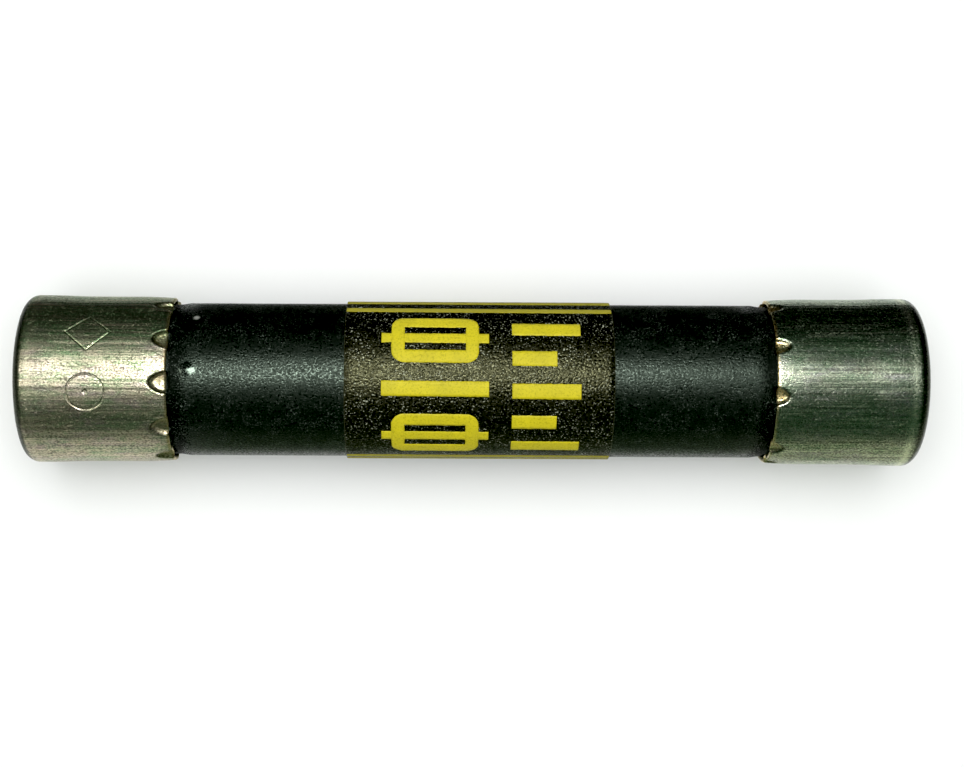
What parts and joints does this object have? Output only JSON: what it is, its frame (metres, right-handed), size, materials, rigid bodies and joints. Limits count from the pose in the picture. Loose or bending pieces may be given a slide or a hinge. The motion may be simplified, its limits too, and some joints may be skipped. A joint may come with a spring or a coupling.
{
  "type": "cartridge fuse",
  "caption": "Small cylindrical cartridge fuse: a black insulating tube with crimped metal end caps and a wrapped paper label, and a fusible link in sand inside.",
  "frame": {"origin": "the middle of the fuse, on its axis", "axes": "+X along the fuse toward its right end, +Z out of the middle of the label's printed panel, +Y across the fuse"},
  "size_m": [0.0324, 0.0062, 0.0062],
  "materials": {
    "tube": "black phenolic-bonded fibre, satin",
    "cap_metal": "nickel-plated brass, drawn, dulled",
    "label_paper": "black printed paper, matt and slightly rough",
    "label_print": "yellow printing ink, matt",
    "cement": "dry cement, matt",
    "solder": "solder, satin",
    "washer_fibre": "vulcanised fibre, matt",
    "link_metal": "plated strip, bright",
    "sand": "packed quartz sand"
  },
  "bodies": {
    "root": {"tube_body": "tube", "end_cap_left": "cap_metal", "end_cap_right": "cap_metal", "paper_label": "label_paper", "cap_cement_left": "cement", "cap_cement_right": "cement", "solder_left": "solder", "solder_right": "solder", "end_washer_left": "washer_fibre", "end_washer_right": "washer_fibre", "fusible_link": "link_metal", "sand_filler": "sand"}
  },
  "joints": []
}
